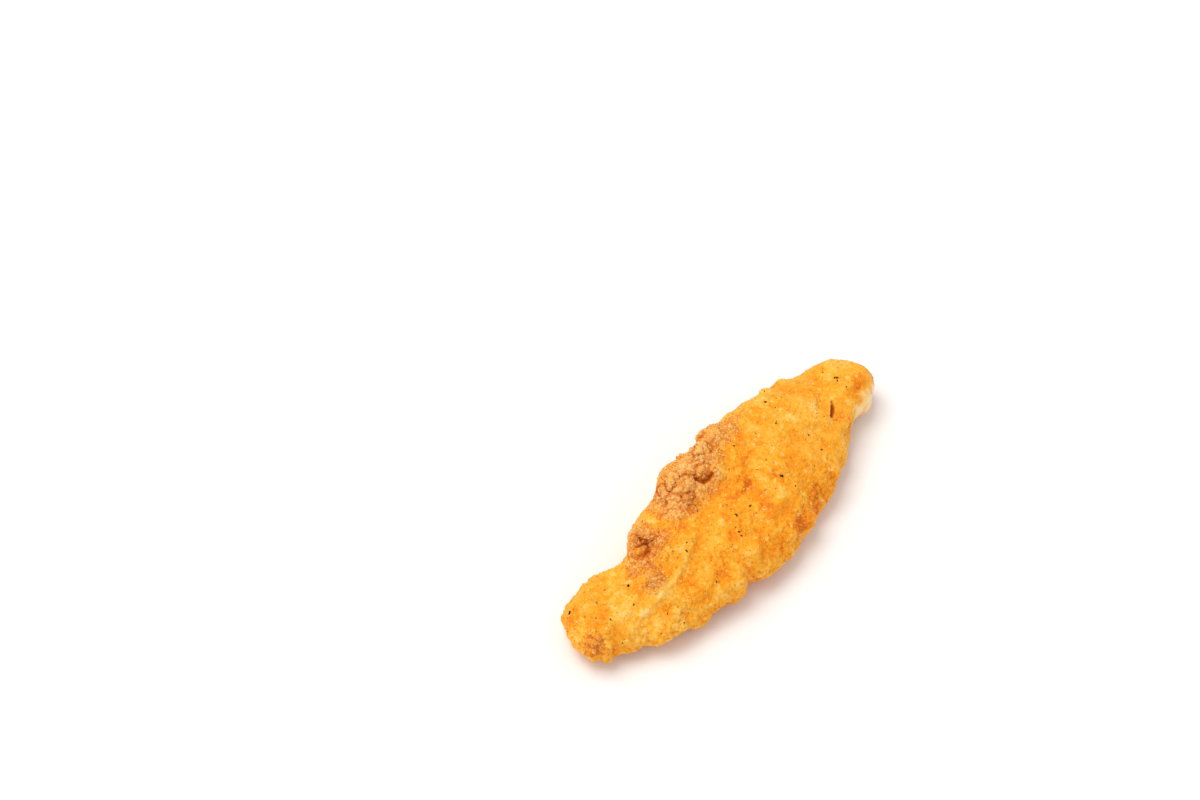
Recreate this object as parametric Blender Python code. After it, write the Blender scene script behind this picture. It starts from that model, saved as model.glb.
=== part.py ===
"""A breaded and fried chicken tender, lying on its flatter side with its best face up.

Metres, +Z up. +X runs from the broad end to the tapered tip, +Y to the crusty long edge, and the
origin is under the middle of the piece, on the surface that it rests on.
"""

import math
import random

import bmesh
import bpy
from mathutils import Vector, noise
from mathutils.bvhtree import BVHTree

MM = 0.001
LENGTH = 124.0 * MM

# Stations along the tender: share of the length, reach to +Y, reach to -Y, crown height and the
# height of the underside over the surface, the last four in millimetres.
STATIONS = (
    (0.00, 3.6, 10.4, 10.6, 1.6),
    (0.04, 6.0, 12.0, 11.6, 1.2),
    (0.08, 8.4, 13.8, 12.6, 0.9),
    (0.14, 8.2, 17.8, 14.0, 0.5),
    (0.19, 5.2, 19.4, 15.2, 0.2),
    (0.24, 5.4, 19.8, 16.2, 0.1),
    (0.29, 9.0, 21.0, 17.2, 0.0),
    (0.35, 11.4, 22.0, 18.0, 0.0),
    (0.42, 14.2, 23.4, 18.8, 0.0),
    (0.50, 12.8, 24.4, 19.2, 0.0),
    (0.58, 15.8, 22.6, 19.0, 0.0),
    (0.66, 15.8, 18.6, 18.2, 0.1),
    (0.72, 15.0, 17.2, 17.2, 0.3),
    (0.78, 15.2, 14.4, 16.2, 0.7),
    (0.84, 15.6, 9.6, 14.8, 1.3),
    (0.90, 12.0, 6.2, 13.6, 1.9),
    (0.95, 10.8, 4.4, 13.2, 2.3),
    (1.00, 2.6, 4.4, 12.2, 2.9),
)
BROAD_END_ROUND = 9.0 * MM
TIP_END_ROUND = 6.5 * MM
END_SQUARENESS = 2.6
WIDEST_LEVEL = 0.42
TOP_FULLNESS = 2.6
UNDERSIDE_FULLNESS = 3.0
FACE_TILT = 0.2
FACE_TILT_WIDTH = 20.0 * MM

RINGS = 150
RING_POINTS = 128

# Lumps of the coating over the meat, as wave length and height in millimetres. The billows are
# rounded lumps with creases between them, stronger in the crags and round the long edges.
COATING_WAVES = ((24.0, 1.9), (11.0, 1.1))
COATING_BILLOWS = ((8.0, 1.3), (4.4, 0.8))
BILLOW_ON_FACE = 0.55
NOISE_OFFSET = Vector((3.7, 1.3, 8.1))

# Swellings and hollows of the upper face: along, across, radius and height in millimetres, with
# along measured from the broad end and across towards the crusty edge.
SWELLS = (
    (64.0, 5.0, 6.5, 1.8),
    (51.0, 11.0, 5.0, 2.0),
    (58.0, 13.0, 5.0, 1.6),
    (70.0, 14.0, 6.0, 1.4),
    (80.0, 0.0, 8.0, 1.0),
    (92.0, 5.0, 6.5, 0.9),
    (113.0, 6.5, 4.5, 1.4),
    (115.5, -1.5, 4.0, 1.2),
    (12.0, -8.0, 6.5, 1.2),
    (8.0, 1.5, 5.0, 1.2),
    (50.0, -13.0, 7.5, 1.1),
    (33.0, -15.0, 6.0, 0.8),
    (58.0, 0.0, 3.0, -1.4),
    (64.0, -9.8, 2.8, -1.2),
    (73.0, -8.0, 5.0, 0.9),
    (102.0, 0.6, 3.5, -1.2),
    (57.0, 6.2, 2.4, -2.0),
    (25.0, 4.0, 4.0, -1.0),
    (85.0, -5.5, 3.4, -0.8),
)

# Swellings and notches of the sides, given the same way and felt only where the surface is steep.
EDGE_SWELLS = (
    (41.0, -22.0, 4.5, 1.2),
    (46.5, -23.5, 2.6, -1.5),
    (54.0, -23.0, 4.0, 0.9),
    (70.0, -19.0, 4.0, 0.9),
    (76.5, -16.0, 2.8, -1.0),
    (86.0, -12.5, 4.5, 0.9),
    (22.0, -19.5, 5.0, 0.9),
    (30.0, -21.0, 3.0, -0.8),
    (108.5, -7.0, 3.2, -1.5),
    (116.0, -6.0, 3.6, 1.2),
    (104.5, 14.5, 4.0, -0.9),
    (111.0, 12.5, 4.0, 1.2),
    (90.0, 17.5, 5.0, 0.8),
    (80.0, 18.5, 3.0, -0.8),
    (52.0, 17.0, 4.0, 1.2),
    (44.0, 15.5, 2.6, -1.0),
    (37.0, 12.5, 4.0, 1.3),
    (1.0, -9.0, 4.0, 1.2),
    (0.0, 1.5, 3.0, -1.0),
    (2.0, 7.0, 4.0, 0.9),
    (121.0, 7.0, 3.2, 0.7),
    (123.5, 1.8, 2.4, -0.9),
)

# Long folds of the upper face, each from one point to another: along and across at both ends,
# then half width and height, in millimetres.
FOLDS = (
    (43.0, -1.6, 33.0, -5.0, 2.8, 2.0),
    (33.0, -5.0, 24.0, -6.9, 2.8, 1.8),
    (24.0, -6.9, 14.0, -6.6, 3.2, 1.3),
    (44.0, 7.6, 33.0, 2.6, 3.0, -2.2),
    (33.0, 2.6, 20.0, -3.2, 3.0, -1.7),
    (70.0, -5.0, 64.5, -14.5, 2.0, 1.0),
    (86.0, -9.5, 74.0, -14.5, 2.6, 0.8),
    (99.6, -2.2, 104.6, 2.2, 0.9, -1.9),
    (80.0, 9.0, 90.0, 10.0, 2.6, 0.9),
    (96.0, -4.0, 88.0, 0.0, 2.2, 0.7),
    (62.5, 1.0, 58.5, -4.5, 1.3, -0.9),
)

# Crags of browned crumb: along and across of the middle, half spread along and across, how many
# nuggets, and the least and largest nugget radius, all but the count in millimetres.
CRAGS = (
    (53.5, 10.2, 6.5, 4.4, 34, 1.4, 2.6),
    (67.0, 12.6, 8.0, 2.6, 22, 1.3, 2.2),
    (32.5, 6.6, 4.0, 3.0, 12, 1.3, 2.3),
    (26.5, -0.5, 4.0, 2.8, 7, 1.2, 1.8),
    (57.0, 6.5, 2.6, 2.0, 5, 1.1, 1.7),
    (3.0, -6.0, 3.4, 6.0, 12, 1.2, 2.1),
    (20.0, -17.5, 10.0, 1.8, 11, 1.1, 1.8),
    (56.0, -20.5, 16.0, 1.8, 13, 1.1, 1.8),
    (95.0, -8.5, 10.0, 1.8, 8, 1.0, 1.7),
    (96.0, 13.5, 9.0, 1.8, 8, 1.0, 1.7),
)
LOOSE_NUGGETS = 22
LOOSE_RADIUS = (1.2 * MM, 1.8 * MM)
NUGGET_SINK = 0.4
NUGGET_ROUGHNESS = 0.3
CRAG_SEED = 41

REMESH_SIZE = 0.7 * MM
SMOOTH_STEPS = 1
REST_DEPTH = 0.7 * MM
REST_LEVEL = 0.12 * MM
TRIANGLES = 11600

CRUST_COLOUR = (0.86, 0.36, 0.045, 1.0)


def station_at(share):
    """Reach to +Y, reach to -Y, crown and underside heights in metres at a share of the length."""
    shares = [row[0] for row in STATIONS]
    last = len(STATIONS) - 2
    index = min(last, max(i for i, start in enumerate(shares) if start <= share))
    low, high = STATIONS[index], STATIONS[index + 1]
    before = STATIONS[max(index - 1, 0)]
    after = STATIONS[min(index + 2, len(STATIONS) - 1)]
    t = (share - low[0]) / (high[0] - low[0])
    span = high[0] - low[0]
    values = []
    for k in range(1, 5):
        slope_low = (high[k] - before[k]) / (high[0] - before[0])
        slope_high = (after[k] - low[k]) / (after[0] - low[0])
        values.append(
            (2 * t**3 - 3 * t**2 + 1) * low[k]
            + (t**3 - 2 * t**2 + t) * span * slope_low
            + (3 * t**2 - 2 * t**3) * high[k]
            + (t**3 - t**2) * span * slope_high
        )
    return [value * MM for value in values]


def end_closing(along):
    """How full the section is near the two rounded ends, from 0 at the very end to 1."""
    full = 1.0
    for away, rounding in ((along, BROAD_END_ROUND), (LENGTH - along, TIP_END_ROUND)):
        short = 1.0 - min(max(away, 0.0) / rounding, 1.0)
        full *= (1.0 - short**END_SQUARENESS) ** (1.0 / END_SQUARENESS)
    return full


def section_point(along, angle):
    """A point of the plain body, at an angle round the section from +Y over the crown."""
    left, right, crown, underside = station_at(along / LENGTH)
    closing = end_closing(along)
    middle = underside + WIDEST_LEVEL * (crown - underside)
    cos, sin = math.cos(angle), math.sin(angle)
    fullness = TOP_FULLNESS if sin >= 0.0 else UNDERSIDE_FULLNESS
    reach = (left if cos >= 0.0 else right) * closing
    rise = (crown - middle if sin >= 0.0 else middle - underside) * closing**0.8
    y = math.copysign(abs(cos) ** (2.0 / fullness), cos) * reach
    z = middle + math.copysign(abs(sin) ** (2.0 / fullness), sin) * rise
    z *= 1.0 + FACE_TILT * y / FACE_TILT_WIDTH
    return Vector((along - LENGTH / 2, y, z))


def ring_places():
    """Distances along the tender of the rings, closer together towards the rounded ends."""
    spread = [0.5 - 0.5 * math.cos(math.pi * i / (RINGS + 1)) for i in range(1, RINGS + 1)]
    even = [i / (RINGS + 1) for i in range(1, RINGS + 1)]
    return [LENGTH * (0.6 * s + 0.4 * e) for s, e in zip(spread, even)]


def plain_body():
    """The smooth body of the tender as a bmesh: rings of points, closed by a point at each end."""
    bm = bmesh.new()
    rings = []
    for along in ring_places():
        points = (section_point(along, 2 * math.pi * k / RING_POINTS) for k in range(RING_POINTS))
        rings.append([bm.verts.new(point) for point in points])
    for first, second in zip(rings, rings[1:]):
        for k in range(RING_POINTS):
            n = (k + 1) % RING_POINTS
            bm.faces.new((first[k], first[n], second[n], second[k]))
    for along, ring, tip_end in ((0.0, rings[0], False), (LENGTH, rings[-1], True)):
        pole = bm.verts.new(section_point(along, 0.0))
        for k in range(RING_POINTS):
            n = (k + 1) % RING_POINTS
            corners = (ring[k], ring[n], pole) if tip_end else (ring[n], ring[k], pole)
            bm.faces.new(corners)
    bmesh.ops.recalc_face_normals(bm, faces=bm.faces)
    return bm


def swell_height(x, y, swells):
    """Sum in millimetres of the round swellings that are felt at a place seen from above."""
    height = 0.0
    for along, across, radius, size in swells:
        away = math.hypot(x - along, y - across) / radius
        height += size * math.exp(-away * away)
    return height


def fold_height(x, y):
    """Sum in millimetres of the long folds that are felt at a place of the upper face."""
    height = 0.0
    for x0, y0, x1, y1, half_width, size in FOLDS:
        dx, dy = x1 - x0, y1 - y0
        share = min(1.0, max(0.0, ((x - x0) * dx + (y - y0) * dy) / (dx * dx + dy * dy)))
        away = math.hypot(x - x0 - share * dx, y - y0 - share * dy) / half_width
        height += size * math.exp(-away * away)
    return height


def cragginess(x, y, facing_up):
    """How strong the billows are at a place: faint on the open face, full in crags and edges."""
    strength = BILLOW_ON_FACE + (1.0 - BILLOW_ON_FACE) * (1.0 - abs(facing_up)) ** 0.7
    for along, across, spread_x, spread_y, *_ in CRAGS:
        away = math.hypot((x - along) / spread_x, (y - across) / spread_y)
        strength += 0.5 * math.exp(-away * away)
    return min(strength, 1.25)


def coating_height(point, facing_up):
    """How far the coating stands off the plain body at a point, in metres."""
    x, y = (point.x + LENGTH / 2) / MM, point.y / MM
    height = 0.0
    for length, size in COATING_WAVES:
        height += size * noise.noise(point / (length * MM) + NOISE_OFFSET * length)
    strength = cragginess(x, y, facing_up)
    for length, size in COATING_BILLOWS:
        crease = abs(noise.noise(point / (length * MM) + NOISE_OFFSET * length))
        height += strength * size * (2.0 * crease - 0.5)
    upper = min(1.0, max(0.0, facing_up * 1.6))
    steep = 1.0 - min(1.0, abs(facing_up)) ** 2
    height += upper * (swell_height(x, y, SWELLS) + fold_height(x, y))
    height += steep * swell_height(x, y, EDGE_SWELLS)
    return height * MM


def coat(bm):
    """Moves the plain body's points out or in to the uneven surface of the coating."""
    bm.normal_update()
    moves = [vert.normal * coating_height(vert.co, vert.normal.z) for vert in bm.verts]
    for vert, move in zip(bm.verts, moves):
        vert.co += move


def add_nugget(bm, place, out, radius, draw):
    """Adds one craggy nugget of crumb, sunk into the coating at a place that faces out."""
    made = bmesh.ops.create_icosphere(bm, subdivisions=3, radius=radius)["verts"]
    stretch = Vector([draw.uniform(0.7, 1.35) for _ in range(3)])
    shift = Vector([draw.uniform(-50.0, 50.0) for _ in range(3)])
    centre = place - out * radius * (NUGGET_SINK - draw.uniform(0.0, 0.35))
    for vert in made:
        rough = 1.0 + NUGGET_ROUGHNESS * noise.noise(vert.co / radius + shift)
        vert.co = Vector(a * b for a, b in zip(vert.co, stretch)) * rough + centre


def crag_places(draw):
    """Yields a place on the upper face in metres and a nugget radius, for each nugget of crumb."""
    for along, across, spread_x, spread_y, count, least, most in CRAGS:
        for _ in range(count):
            x = along + draw.gauss(0.0, spread_x * 0.55)
            y = across + draw.gauss(0.0, spread_y * 0.55)
            radius = least + (most - least) * draw.random() ** 1.8
            yield x * MM - LENGTH / 2, y * MM, radius * MM
    for _ in range(LOOSE_NUGGETS):
        share = draw.uniform(0.05, 0.95)
        left, right, _, _ = station_at(share)
        y = draw.uniform(-right, left) * 0.92
        yield LENGTH * (share - 0.5), y, draw.uniform(*LOOSE_RADIUS)


def add_crags(bm):
    """Sets the nuggets of crumb on the coated body, where a line from above meets it."""
    tree = BVHTree.FromBMesh(bm)
    draw = random.Random(CRAG_SEED)
    for x, y, radius in crag_places(draw):
        place, out, _, _ = tree.ray_cast(Vector((x, y, 0.1)), Vector((0.0, 0.0, -1.0)))
        if place is not None:
            add_nugget(bm, place, out, radius, draw)


def mesh_after(obj, modifier_type, **settings):
    """Puts a modifier on an object, and makes its result the object's own mesh."""
    modifier = obj.modifiers.new(modifier_type.title(), modifier_type)
    for name, value in settings.items():
        setattr(modifier, name, value)
    graph = bpy.context.evaluated_depsgraph_get()
    result = bpy.data.meshes.new_from_object(obj.evaluated_get(graph))
    obj.modifiers.clear()
    old = obj.data
    obj.data = result
    bpy.data.meshes.remove(old)


def rest_on_surface(mesh):
    """Lowers the body a little and flattens what would lie under the surface, as its own weight does."""
    lowest = min(vert.co.z for vert in mesh.vertices)
    for vert in mesh.vertices:
        vert.co.z = max(0.0, vert.co.z - lowest - REST_DEPTH)


def settle_on_origin(mesh):
    """Levels the resting patches, and moves the middle of the outline over the origin."""
    for vert in mesh.vertices:
        if vert.co.z < REST_LEVEL:
            vert.co.z = 0.0
    for axis in (0, 1):
        values = [vert.co[axis] for vert in mesh.vertices]
        middle = (min(values) + max(values)) / 2
        for vert in mesh.vertices:
            vert.co[axis] -= middle


def crust_material():
    """The plain finish of the fried coating."""
    material = bpy.data.materials.new("golden_crust")
    material.use_nodes = True
    shader = material.node_tree.nodes["Principled BSDF"]
    shader.inputs["Base Color"].default_value = CRUST_COLOUR
    shader.inputs["Roughness"].default_value = 0.55
    shader.inputs["Metallic"].default_value = 0.0
    return material


def build_tender():
    """Makes the tender as one closed solid."""
    bm = plain_body()
    coat(bm)
    add_crags(bm)
    mesh = bpy.data.meshes.new("tender")
    bm.to_mesh(mesh)
    bm.free()
    tender = bpy.data.objects.new("tender", mesh)
    bpy.context.scene.collection.objects.link(tender)
    mesh_after(tender, "REMESH", mode="VOXEL", voxel_size=REMESH_SIZE)
    mesh_after(tender, "SMOOTH", factor=0.5, iterations=SMOOTH_STEPS)
    rest_on_surface(tender.data)
    share = TRIANGLES / sum(len(face.vertices) - 2 for face in tender.data.polygons)
    mesh_after(tender, "DECIMATE", ratio=share, use_collapse_triangulate=True)
    settle_on_origin(tender.data)
    tender.data.shade_smooth()
    tender.data.materials.append(crust_material())
    return tender


def main():
    for obj in list(bpy.data.objects):
        bpy.data.objects.remove(obj)
    build_tender()


main()
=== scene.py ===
"""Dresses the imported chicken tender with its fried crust, crumbs and pepper, in a plain studio.

Metres, in the frame of the CAD part: +X runs from the broad end to the tapered tip, +Y to the
long edge with the browned crumb, +Z up, and the tender lies on z = 0. "Along" is measured from
the broad end and "across" from the middle line towards +Y.
"""

from __future__ import annotations

import logging
import math
from dataclasses import dataclass, field
from enum import Enum
from typing import Any, Callable, Sequence

import bmesh
import bpy
import numpy as np
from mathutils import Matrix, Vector, noise

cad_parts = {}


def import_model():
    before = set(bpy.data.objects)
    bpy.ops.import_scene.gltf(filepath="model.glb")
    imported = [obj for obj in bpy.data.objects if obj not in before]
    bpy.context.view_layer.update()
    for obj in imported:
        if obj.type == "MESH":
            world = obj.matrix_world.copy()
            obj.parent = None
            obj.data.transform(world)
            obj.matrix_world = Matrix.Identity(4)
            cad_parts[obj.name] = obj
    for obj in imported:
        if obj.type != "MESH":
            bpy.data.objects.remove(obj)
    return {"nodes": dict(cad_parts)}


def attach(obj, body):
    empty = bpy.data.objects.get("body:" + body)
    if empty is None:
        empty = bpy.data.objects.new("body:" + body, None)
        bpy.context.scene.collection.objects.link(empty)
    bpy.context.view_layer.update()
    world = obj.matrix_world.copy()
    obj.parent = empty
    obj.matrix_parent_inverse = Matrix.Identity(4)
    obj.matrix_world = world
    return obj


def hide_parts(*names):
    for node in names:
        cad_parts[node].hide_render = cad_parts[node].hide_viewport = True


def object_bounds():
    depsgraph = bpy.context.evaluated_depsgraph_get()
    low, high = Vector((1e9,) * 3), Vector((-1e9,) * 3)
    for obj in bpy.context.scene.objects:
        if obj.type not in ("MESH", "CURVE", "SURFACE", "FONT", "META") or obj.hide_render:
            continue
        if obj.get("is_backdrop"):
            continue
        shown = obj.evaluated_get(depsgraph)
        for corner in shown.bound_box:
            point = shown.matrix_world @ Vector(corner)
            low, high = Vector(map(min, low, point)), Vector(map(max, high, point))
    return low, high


log = logging.getLogger("tender")

MM = 0.001
CAD_NODE = "tender"
BODY = "root"
STANDS_PROUD = 0.5 * MM
GLOW_COLOURS = (1.0, 0.35, 0.1)
LONE_CRUMBS = 0.0001

Colour = tuple[float, float, float]
Place = tuple[float, float]
Spot = tuple[float, float, float, float, float]
Ellipsoid = tuple[tuple[float, float, float], tuple[float, float, float]]
Stop = tuple[float, Colour]


class Socket:
    """A shader socket that can be used in arithmetic."""

    def __init__(self, graph: "Graph", socket: bpy.types.NodeSocket) -> None:
        """Keeps the graph that the socket is in, and the socket."""
        self.graph = graph
        self.socket = socket

    def __add__(self, other: "Socket | float") -> "Socket":
        """Adds a value."""
        return self.graph.math("ADD", self, other)

    def __radd__(self, other: float) -> "Socket":
        """Adds to a number."""
        return self.graph.math("ADD", other, self)

    def __sub__(self, other: "Socket | float") -> "Socket":
        """Takes a value away."""
        return self.graph.math("SUBTRACT", self, other)

    def __rsub__(self, other: float) -> "Socket":
        """Is taken away from a number."""
        return self.graph.math("SUBTRACT", other, self)

    def __mul__(self, other: "Socket | float") -> "Socket":
        """Multiplies by a value."""
        return self.graph.math("MULTIPLY", self, other)

    def __rmul__(self, other: float) -> "Socket":
        """Multiplies a number."""
        return self.graph.math("MULTIPLY", other, self)

    def eased(self, low: float, high: float) -> "Socket":
        """Goes smoothly from 0 at low to 1 at high.

        Args:
            low: the value that gives 0.
            high: the value that gives 1.

        Returns:
            The eased value.
        """
        settings = {"interpolation_type": "SMOOTHSTEP"}
        links = {"Value": self, "From Min": low, "From Max": high}
        return self.graph.made("ShaderNodeMapRange", settings, links, "Result")


class Graph:
    """The node tree of one material, with a Principled shader as its surface."""

    def __init__(self, name: str) -> None:
        """Makes the material and its shader."""
        self.material = bpy.data.materials.new(name)
        self.material.use_nodes = True
        self.tree = self.material.node_tree
        self.tree.nodes.clear()
        self.shader = self.tree.nodes.new("ShaderNodeBsdfPrincipled")
        output = self.tree.nodes.new("ShaderNodeOutputMaterial")
        self.tree.links.new(self.shader.outputs["BSDF"], output.inputs["Surface"])

    def put(self, socket: bpy.types.NodeSocket, value: Any) -> None:
        """Links a wrapped socket to an input, or sets a plain value on it.

        Args:
            socket: the input.
            value: a wrapped socket, or a number, a colour or a vector.
        """
        if isinstance(value, Socket):
            self.tree.links.new(value.socket, socket)
        elif isinstance(value, tuple) and len(value) == 3 and socket.type == "RGBA":
            socket.default_value = (*value, 1.0)
        else:
            socket.default_value = value

    def made(
        self,
        kind: str,
        settings: dict[str, Any] | None = None,
        inputs: dict[str | int, Any] | None = None,
        output: str | int = 0,
    ) -> Socket:
        """Makes any node.

        Args:
            kind: the node's type.
            settings: values of its own, set first.
            inputs: values or links by socket name or number.
            output: the output that is wanted.

        Returns:
            The wanted output, wrapped.
        """
        node = self.tree.nodes.new(kind)
        for name, value in (settings or {}).items():
            if name == "stops":
                self.set_stops(node.color_ramp, value)
            else:
                setattr(node, name, value)
        for name, value in (inputs or {}).items():
            self.put(node.inputs[name], value)
        return Socket(self, node.outputs[output])

    def set_stops(self, ramp: bpy.types.ColorRamp, stops: Sequence[Stop]) -> None:
        """Gives a ramp its stops.

        Args:
            ramp: a new ramp, which has two stops.
            stops: places from 0 to 1 in order, each with its colour.
        """
        while len(ramp.elements) < len(stops):
            ramp.elements.new(1.0)
        for element, (place, colour) in zip(ramp.elements, stops):
            element.position = place
            element.color = (*colour, 1.0)

    def math(self, operation: str, first: Socket | float, second: Socket | float) -> Socket:
        """Adds one Math node and returns its value."""
        return self.made("ShaderNodeMath", {"operation": operation}, {0: first, 1: second})

    def blend(self, share: Socket | float, first: Any, second: Any) -> Socket:
        """Goes from the first colour to the second as share goes from 0 to 1."""
        settings = {"data_type": "RGBA", "clamp_factor": True}
        return self.made("ShaderNodeMix", settings, {0: share, 6: first, 7: second}, 2)

    def attribute(self, name: str) -> Socket:
        """Reads a number that the mesh holds at each point."""
        return self.made("ShaderNodeAttribute", {"attribute_name": name}, None, "Fac")

    def place(self) -> Socket:
        """The place on the object, in metres."""
        return self.made("ShaderNodeTexCoord", None, None, "Object")

    def cloud(self, size: float, detail: float = 2.0, roughness: float = 0.5) -> Socket:
        """Noise from 0 to 1 with lumps of a size.

        Args:
            size: how large a lump is, in metres.
            detail: how many finer layers it has.
            roughness: how strong the finer layers are.

        Returns:
            The noise.
        """
        inputs = {
            "Vector": self.place(),
            "Scale": 1.0 / size,
            "Detail": detail,
            "Roughness": roughness,
        }
        return self.made("ShaderNodeTexNoise", None, inputs, "Fac")

    def domes(self, size: float) -> Socket:
        """Small domes side by side, near 1 at each middle and lower in the gaps."""
        inputs = {"Vector": self.place(), "Scale": 1.0 / size}
        return 1.0 - self.made("ShaderNodeTexVoronoi", None, inputs, "Distance")

    def ramp(self, share: Socket, stops: Sequence[Stop]) -> Socket:
        """Turns a value from 0 to 1 into a colour between stops."""
        return self.made("ShaderNodeValToRGB", {"stops": stops}, {"Fac": share}, "Color")

    def bump(self, height: Socket, depth: float, strength: float) -> Socket:
        """A normal that is tilted by a height of a real depth in metres."""
        inputs = {"Height": height, "Distance": depth, "Strength": strength}
        return self.made("ShaderNodeBump", None, inputs, "Normal")

    def surface(self, **inputs: Any) -> bpy.types.Material:
        """Sets the shader's sockets.

        Args:
            inputs: values or links, named with underscores for spaces.

        Returns:
            The finished material.
        """
        for name, value in inputs.items():
            self.put(self.shader.inputs[name.replace("_", " ")], value)
        return self.material


@dataclass(frozen=True)
class CrustFinish:
    """The golden fried coating, with browned crags, painted shade that deepens the colour in hollows and
    creases, and one bare, glossy tip.
    """

    golden: tuple[Stop, ...] = (
        (0.0, (0.66, 0.14, 0.005)),
        (0.2, (0.88, 0.25, 0.006)),
        (0.4, (0.95, 0.34, 0.009)),
        (0.55, (0.98, 0.41, 0.022)),
        (0.72, (1.0, 0.475, 0.048)),
        (0.88, (1.0, 0.555, 0.11)),
        (1.0, (1.0, 0.64, 0.21)),
    )
    toasted: tuple[Stop, ...] = (
        (0.0, (0.40, 0.075, 0.008)),
        (0.3, (0.74, 0.22, 0.025)),
        (0.6, (0.92, 0.36, 0.06)),
        (1.0, (1.0, 0.55, 0.16)),
    )
    flour: Colour = (1.0, 0.59, 0.16)
    freckle: Colour = (0.50, 0.15, 0.012)
    slit_red: Colour = (0.34, 0.052, 0.006)
    bare_flesh: Colour = (1.0, 0.71, 0.32)
    bare_rim: Colour = (1.0, 0.52, 0.12)
    bare_gloss: float = 0.5
    patch_size: float = 8.0 * MM
    dome_size: float = 0.62 * MM
    fine_size: float = 0.32 * MM
    flour_size: float = 1.8 * MM
    freckle_gap: float = 2.6 * MM
    stain_size: float = 3.0 * MM
    oil_size: float = 4.0 * MM
    middle_tone: float = 0.50
    patch_tone: float = 2.2
    # The grain's tone follows the bump's height: paler on its domes and fine rises, deeper in the gaps,
    # as painted light and shade.
    dome_tone: float = 0.24
    fine_tone: float = 0.2
    # Painted light and shade from the lumps: paler on the crowns, deeper in the hollows.
    lump_light_and_shade: float = 0.17
    # The tone placed on the face holds spots of the crust's own colour, and also painted shade low on the
    # sides and painted light and shade along the marks.
    placed_tone: float = 0.3
    # Painted light and shade from the small peaks: paler on them, deeper in the creases between.
    peak_light_and_shade: float = 0.11
    flour_share: float = 0.75
    freckle_share: float = 0.5
    stain_share: float = 0.6
    roughness: float = 0.58
    oiled: float = 0.40
    bare_smoothness: float = 0.15
    grain_depth: float = 0.25 * MM
    grain_strength: float = 0.6
    specular: float = 0.14
    glow_through: float = 0.3
    glow_depth: float = 1.8 * MM

    def tone(self, graph: Graph, layers: Socket, domes: Socket, fine: Socket) -> Socket:
        """How pale the breading is, by its patches, and by painted light and shade that follow its grain
        and its form: paler where it stands up, deeper in hollows and creases.

        Args:
            graph: the material's nodes.
            layers: noise for the patches.
            domes: packed domes for the grain.
            fine: noise for the finest grain.

        Returns:
            The tone, mostly from 0 to 1.
        """
        # Painted light and shade: paler on lumps and peaks, deeper in hollows and creases, together with
        # the placed tone.
        form = self.lump_light_and_shade * graph.attribute("lump") + self.placed_tone * graph.attribute("tone")
        form = form + self.peak_light_and_shade * graph.attribute("peak")
        # The grain's tone follows the bump's height, as painted light and shade.
        grain = self.dome_tone * (domes - 0.55) + self.fine_tone * (fine - 0.5)
        return self.middle_tone + self.patch_tone * (layers - 0.5) + grain + form

    def breading(self, graph: Graph, layers: Socket, tone: Socket) -> Socket:
        """The coating's colour: golden, with flour, freckles, browned crags and the slit.

        Args:
            graph: the material's nodes.
            layers: noise for the patches.
            tone: how pale the breading is.

        Returns:
            The colour.
        """
        colour = graph.ramp(tone, self.golden)
        flour = (graph.cloud(self.flour_size, 1.0) + 0.5 * (layers - 0.5)).eased(0.66, 0.74)
        colour = graph.blend(flour * self.flour_share, colour, self.flour)
        freckles = graph.domes(self.freckle_gap).eased(0.86, 0.93)
        colour = graph.blend(freckles * self.freckle_share, colour, self.freckle)
        # The browned mask holds the crags, and painted shade low on the sides.
        browned = (graph.attribute("browned") + 0.9 * (layers - 0.5)).eased(0.15, 0.75)
        colour = graph.blend(browned, colour, graph.ramp(tone, self.toasted))
        return graph.blend(graph.attribute("slit"), colour, self.slit_red)

    def bared(self, graph: Graph, colour: Socket, bare: Socket) -> Socket:
        """Lays the bare flesh and its golden rim over the breading.

        Args:
            graph: the material's nodes.
            colour: the breading's colour.
            bare: how bare of breading a place is.

        Returns:
            The colour.
        """
        stained = graph.cloud(self.stain_size, 3.0).eased(0.38, 0.72)
        flesh = graph.blend(stained * self.stain_share, self.bare_flesh, self.bare_rim)
        flesh = graph.blend(bare.eased(0.45, 1.0), self.bare_rim, flesh)
        return graph.blend(bare.eased(0.1, 0.7), colour, flesh)

    def material(self) -> bpy.types.Material:
        """Makes the material, which reads the masks that the crust mesh holds."""
        graph = Graph("golden_crust")
        layers = graph.cloud(self.patch_size, 5.0, 0.88)
        domes = graph.domes(self.dome_size)
        fine = graph.cloud(self.fine_size, 2.0)
        bare = graph.attribute("bare")
        colour = self.breading(graph, layers, self.tone(graph, layers, domes, fine))
        oil = graph.cloud(self.oil_size, 2.0).eased(0.45, 0.7)
        rough = self.roughness - (self.roughness - self.oiled) * oil - self.bare_smoothness * bare
        height = (0.6 * domes + 0.7 * fine) * (1.0 - bare)
        return graph.surface(
            Base_Color=self.bared(graph, colour, bare),
            Roughness=rough,
            Normal=graph.bump(height, self.grain_depth, self.grain_strength),
            Specular_IOR_Level=self.specular,
            Coat_Weight=bare * self.bare_gloss,
            Coat_Roughness=0.25,
            Subsurface_Weight=self.glow_through,
            Subsurface_Radius=GLOW_COLOURS,
            Subsurface_Scale=self.glow_depth,
        )


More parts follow.
